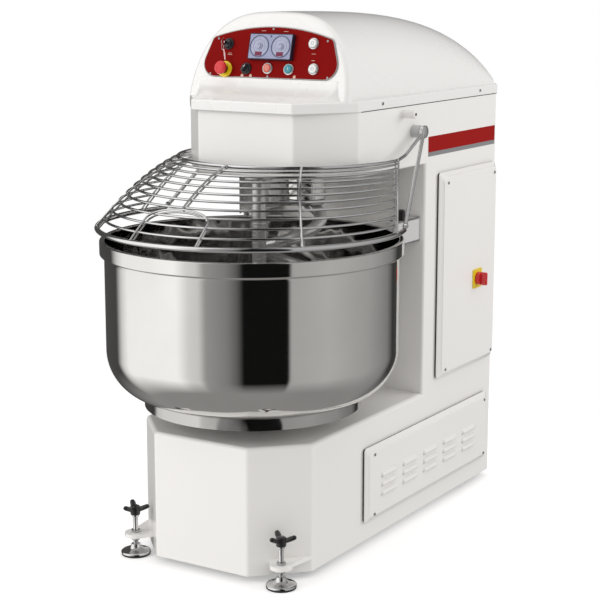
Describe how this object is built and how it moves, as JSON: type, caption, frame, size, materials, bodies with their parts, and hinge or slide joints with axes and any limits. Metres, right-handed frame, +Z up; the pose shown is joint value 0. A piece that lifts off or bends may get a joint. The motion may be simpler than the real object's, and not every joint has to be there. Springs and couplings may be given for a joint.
{
  "type": "spiral dough mixer",
  "caption": "Floor-standing spiral dough mixer: wide fixed bowl on a white base, column and hood head, lifting wire guard, red control panel.",
  "frame": {"origin": "on the floor under the centre of the machine's bounding box", "axes": "+Z up, the bowl and the control panel face -Y, the isolator switch is on the +X side"},
  "size_m": [0.954, 1.554, 1.661],
  "materials": {
    "casing_paint": "warm white powder coat, semi-gloss",
    "hood_paint": "white enamel, gloss",
    "panel_red": "dark red printed panel, satin",
    "timer_grey": "blue-grey moulded plastic",
    "dial_plastic": "light grey moulded plastic",
    "chrome": "polished chrome plate",
    "yellow_plastic": "yellow moulded plastic",
    "red_plastic": "red moulded plastic",
    "black_plastic": "black moulded plastic",
    "lit_red": "translucent red button lens",
    "teal_plastic": "teal button lens",
    "white_plastic": "white button lens",
    "stripe_red": "dark red stripe",
    "screw_steel": "zinc plated screw heads",
    "polished_stainless": "mirror polished stainless steel",
    "satin_stainless": "satin stainless steel",
    "machined_steel": "turned steel",
    "cast_iron": "primed cast iron",
    "belt_rubber": "ribbed drive belt rubber",
    "motor_paint": "blue-grey machine enamel",
    "grey_steel": "grey primed steel plate",
    "boss_grey": "light grey enamel",
    "bracket_grey": "grey-white enamel",
    "roller_nylon": "hard nylon",
    "knob_black": "black bakelite",
    "galvanised_steel": "galvanised sheet steel",
    "wheel_rubber": "solid rubber tyre"
  },
  "bodies": {
    "root": {"body_casing": "casing_paint", "inner_frame": "grey_steel", "top_cover": "hood_paint", "rear_cover": "casing_paint", "side_door": "casing_paint", "left_cover": "casing_paint", "louvre_panels": "casing_paint", "control_panel": "panel_red", "timer_box": "timer_grey", "button_bezels": "chrome", "estop_collar": "yellow_plastic", "isolator_plate": "yellow_plastic", "side_stripes": "stripe_red", "cover_screws": "screw_steel", "bowl_bearing_housing": "cast_iron", "bowl_belt": "belt_rubber", "bowl_motor": "motor_paint", "spindle_housing": "polished_stainless", "spiral_belt": "belt_rubber", "spiral_motor": "motor_paint", "breaker_bar": "satin_stainless", "dough_deflector": "satin_stainless", "guard_bosses_and_stops": "boss_grey", "guard_switch": "black_plastic", "roller_brackets": "bracket_grey", "foot_brackets": "casing_paint", "electrical_panel": "galvanised_steel", "wheel_forks": "galvanised_steel"},
    "bowl": {"bowl": "polished_stainless", "bowl_shaft": "machined_steel", "bowl_pulley": "cast_iron"},
    "bowl_motor_rotor": {"bowl_motor_pulley": "cast_iron"},
    "spiral": {"spindle": "machined_steel", "spiral_hook": "satin_stainless", "spindle_pulley": "cast_iron"},
    "spiral_motor_rotor": {"spiral_motor_pulley": "cast_iron"},
    "guard": {"guard_frame": "chrome", "guard_rods": "chrome", "guard_ribs": "chrome", "guard_shaft": "chrome"},
    "bowl_roller_left": {"bowl_roller_left": "roller_nylon"},
    "bowl_roller_right": {"bowl_roller_right": "roller_nylon"},
    "estop": {"estop_button": "red_plastic"},
    "key": {"key_selector": "black_plastic"},
    "mode": {"mode_selector": "black_plastic"},
    "stop": {"stop_button": "lit_red"},
    "start": {"start_button": "teal_plastic"},
    "upper_white": {"upper_white_button": "white_plastic"},
    "lower_white": {"lower_white_button": "white_plastic"},
    "timer_left": {"timer_knob_left": "dial_plastic"},
    "timer_right": {"timer_knob_right": "dial_plastic"},
    "isolator": {"isolator_knob": "red_plastic"},
    "foot_left": {"foot_pad_left": "chrome"},
    "foot_right": {"foot_pad_right": "chrome"},
    "handscrew_left": {"handscrew_left": "knob_black"},
    "handscrew_right": {"handscrew_right": "knob_black"},
    "front_wheel_left": {"front_wheel_left": "wheel_rubber"},
    "front_wheel_right": {"front_wheel_right": "wheel_rubber"},
    "rear_wheel_left": {"rear_wheel_left": "wheel_rubber"},
    "rear_wheel_right": {"rear_wheel_right": "wheel_rubber"}
  },
  "joints": [
    {"name": "bowl_spin", "type": "hinge", "parent": "root", "child": "bowl", "pos_m": [0, -0.3, 0.5], "axis": [0, 0, 1], "continuous": true},
    {"name": "bowl_motor_spin", "type": "hinge", "parent": "root", "child": "bowl_motor_rotor", "pos_m": [0, 0.42, 0.2], "axis": [0, 0, 1], "continuous": true},
    {"name": "spiral_spin", "type": "hinge", "parent": "root", "child": "spiral", "pos_m": [0.03, -0.038, 1.2], "axis": [0, 0, 1], "continuous": true},
    {"name": "spiral_motor_spin", "type": "hinge", "parent": "root", "child": "spiral_motor_rotor", "pos_m": [0.03, 0.43, 1.36], "axis": [0, 0, 1], "continuous": true},
    {"name": "bowl_roller_left_spin", "type": "hinge", "parent": "root", "child": "bowl_roller_left", "pos_m": [-0.262, 0.10517, 0.966], "axis": [0, 0, 1], "continuous": true},
    {"name": "bowl_roller_right_spin", "type": "hinge", "parent": "root", "child": "bowl_roller_right", "pos_m": [0.262, 0.10517, 0.966], "axis": [0, 0, 1], "continuous": true},
    {"name": "guard_lift", "type": "hinge", "parent": "root", "child": "guard", "pos_m": [0, 0.155, 1.289], "axis": [-1, 0, 0], "range_deg": [0, 56]},
    {"name": "estop_push", "type": "slide", "parent": "root", "child": "estop", "axis": [0, 0.9678, -0.2516], "range_m": [0, 0.005]},
    {"name": "key_turn", "type": "hinge", "parent": "root", "child": "key", "pos_m": [-0.156, -0.185, 1.56169], "axis": [0, -0.9678, 0.2516], "range_deg": [0, 90]},
    {"name": "mode_turn", "type": "hinge", "parent": "root", "child": "mode", "pos_m": [-0.08, -0.20387, 1.4891], "axis": [0, -0.9678, 0.2516], "range_deg": [0, 80]},
    {"name": "stop_push", "type": "slide", "parent": "root", "child": "stop", "axis": [0, 0.9678, -0.2516], "range_m": [0, 0.003], "stiffness_N_per_m": 400},
    {"name": "start_push", "type": "slide", "parent": "root", "child": "start", "axis": [0, 0.9678, -0.2516], "range_m": [0, 0.003], "stiffness_N_per_m": 400},
    {"name": "upper_white_push", "type": "slide", "parent": "root", "child": "upper_white", "axis": [0, 0.9678, -0.2516], "range_m": [0, 0.003], "stiffness_N_per_m": 400},
    {"name": "lower_white_push", "type": "slide", "parent": "root", "child": "lower_white", "axis": [0, 0.9678, -0.2516], "range_m": [0, 0.003], "stiffness_N_per_m": 400},
    {"name": "timer_left_turn", "type": "hinge", "parent": "root", "child": "timer_left", "pos_m": [-0.033, -0.18701, 1.55394], "axis": [0, -0.9678, 0.2516], "range_deg": [-300, 0]},
    {"name": "timer_right_turn", "type": "hinge", "parent": "root", "child": "timer_right", "pos_m": [0.044, -0.18701, 1.55394], "axis": [0, -0.9678, 0.2516], "range_deg": [-300, 0]},
    {"name": "isolator_turn", "type": "hinge", "parent": "root", "child": "isolator", "pos_m": [0.33, 0.59, 0.752], "axis": [1, 0, 0], "range_deg": [0, 90]},
    {"name": "foot_left_lift", "type": "slide", "parent": "root", "child": "foot_left", "axis": [0, 0, 1], "range_m": [0, 0.008]},
    {"name": "foot_right_lift", "type": "slide", "parent": "root", "child": "foot_right", "axis": [0, 0, 1], "range_m": [0, 0.008]},
    {"name": "handscrew_left_turn", "type": "hinge", "parent": "foot_left", "child": "handscrew_left", "pos_m": [-0.269, -0.56, 0.1], "axis": [0, 0, 1], "range_deg": [0, 1440]},
    {"name": "handscrew_right_turn", "type": "hinge", "parent": "foot_right", "child": "handscrew_right", "pos_m": [0.269, -0.56, 0.1], "axis": [0, 0, 1], "range_deg": [0, 1440]},
    {"name": "front_wheel_left_spin", "type": "hinge", "parent": "root", "child": "front_wheel_left", "pos_m": [-0.225, -0.4, 0.06], "axis": [1, 0, 0], "continuous": true},
    {"name": "front_wheel_right_spin", "type": "hinge", "parent": "root", "child": "front_wheel_right", "pos_m": [0.225, -0.4, 0.06], "axis": [1, 0, 0], "continuous": true},
    {"name": "rear_wheel_left_spin", "type": "hinge", "parent": "root", "child": "rear_wheel_left", "pos_m": [-0.225, 0.6, 0.06], "axis": [1, 0, 0], "continuous": true},
    {"name": "rear_wheel_right_spin", "type": "hinge", "parent": "root", "child": "rear_wheel_right", "pos_m": [0.225, 0.6, 0.06], "axis": [1, 0, 0], "continuous": true}
  ],
  "couplings": [
    {"joint": "bowl_motor_spin", "follows": "bowl_spin", "ratio": 4.8},
    {"joint": "bowl_roller_left_spin", "follows": "bowl_spin", "ratio": -25.778},
    {"joint": "bowl_roller_right_spin", "follows": "bowl_spin", "ratio": -25.778},
    {"joint": "spiral_motor_spin", "follows": "spiral_spin", "ratio": 3.2258},
    {"joint": "handscrew_left_turn", "follows": "foot_left_lift", "rad_per_m": 3141.5},
    {"joint": "handscrew_right_turn", "follows": "foot_right_lift", "rad_per_m": 3141.5}
  ]
}
